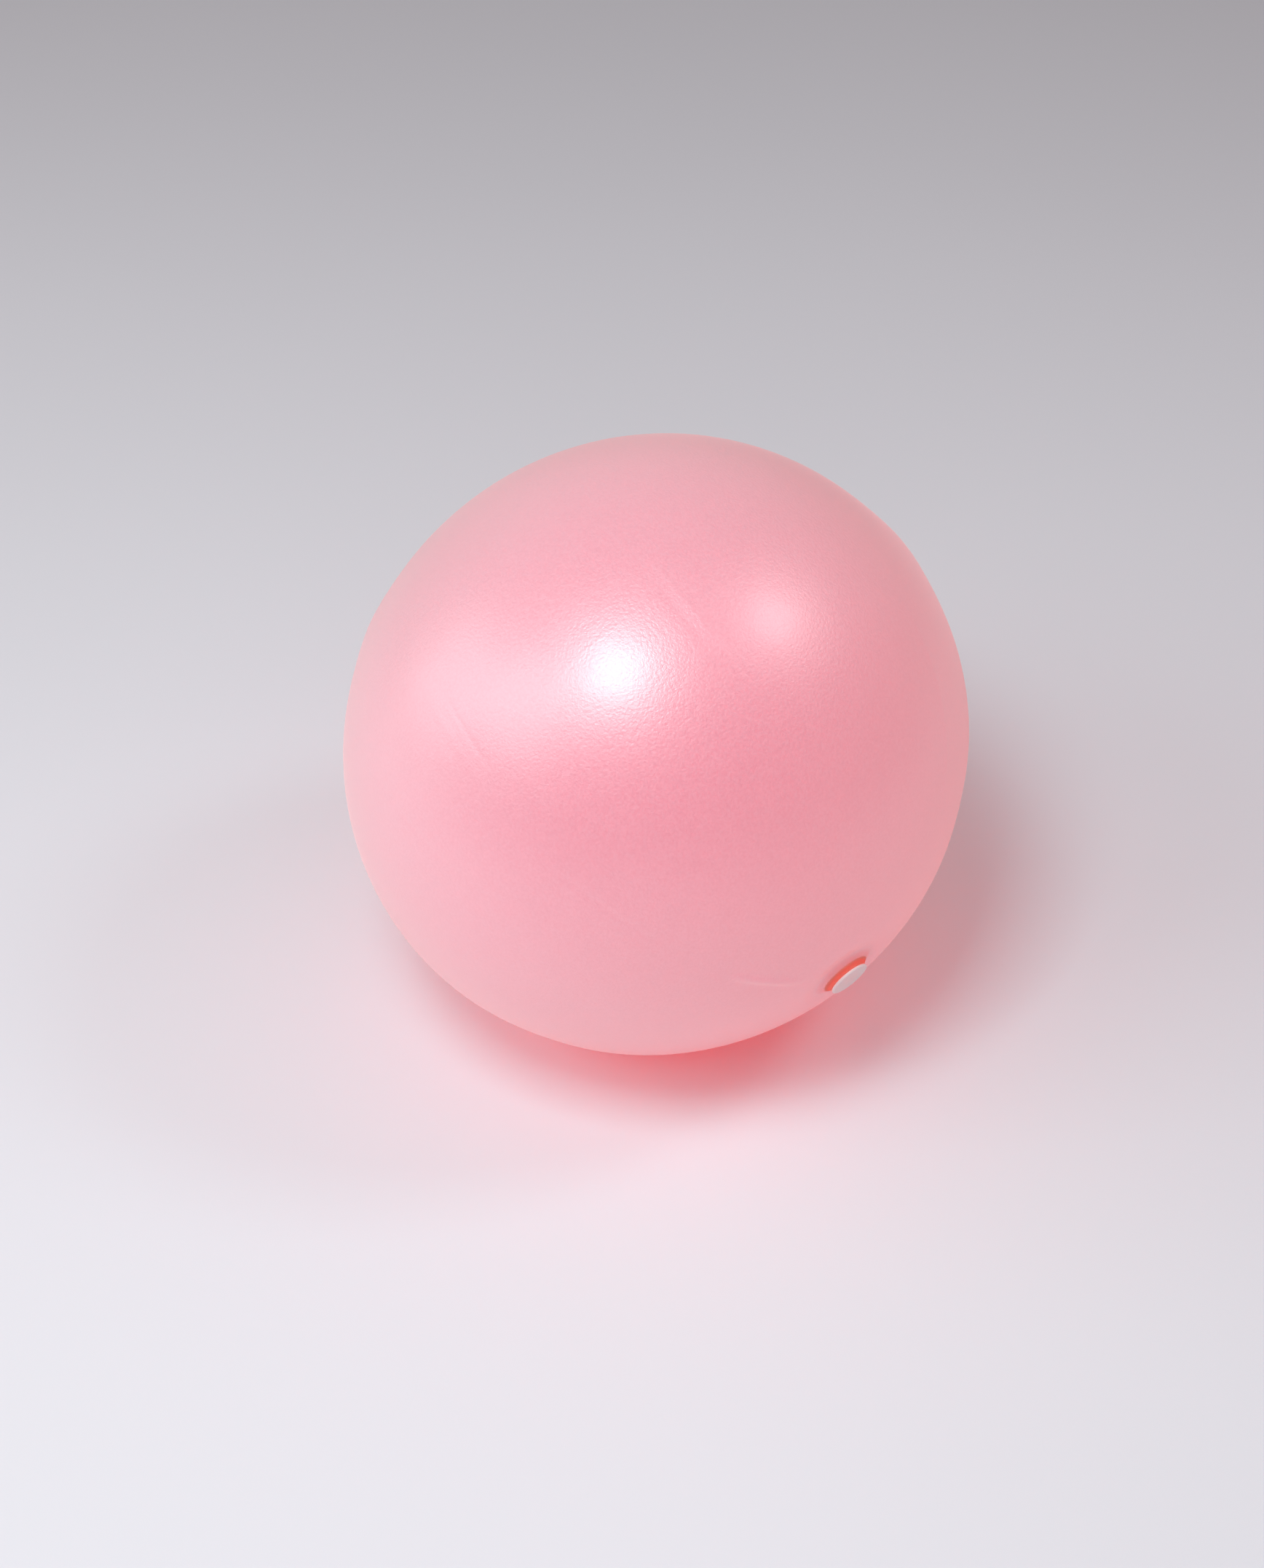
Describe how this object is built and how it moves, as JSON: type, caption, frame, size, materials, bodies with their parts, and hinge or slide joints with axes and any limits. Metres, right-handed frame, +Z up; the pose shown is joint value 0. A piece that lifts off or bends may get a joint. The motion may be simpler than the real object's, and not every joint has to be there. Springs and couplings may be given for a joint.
{
  "type": "exercise ball",
  "caption": "Small inflatable exercise ball of pearly translucent vinyl, with a raised valve seat and a pull-out stopper plug.",
  "frame": {"origin": "on the floor, under the ball's centre (bottom centre of the bounding box)", "axes": "+Z up, +Y away from the valve: the valve axis lies in the plane X = 0 and points to -Y, 21.3 degrees below level"},
  "size_m": [0.254, 0.2458, 0.2509],
  "materials": {
    "ball_skin": "translucent pearly soft vinyl, satin with a fine grain",
    "valve_seat": "thick translucent soft vinyl, glossy",
    "stopper_plug": "moulded polyethylene, satin"
  },
  "bodies": {
    "ball": {"ball_skin": "ball_skin", "valve_seat": "valve_seat"},
    "plug": {"stopper_plug": "stopper_plug"}
  },
  "joints": [
    {"name": "plug_pull", "type": "slide", "parent": "ball", "child": "plug", "axis": [0, -0.9317, -0.3633], "range_m": [0, 0.035]}
  ]
}
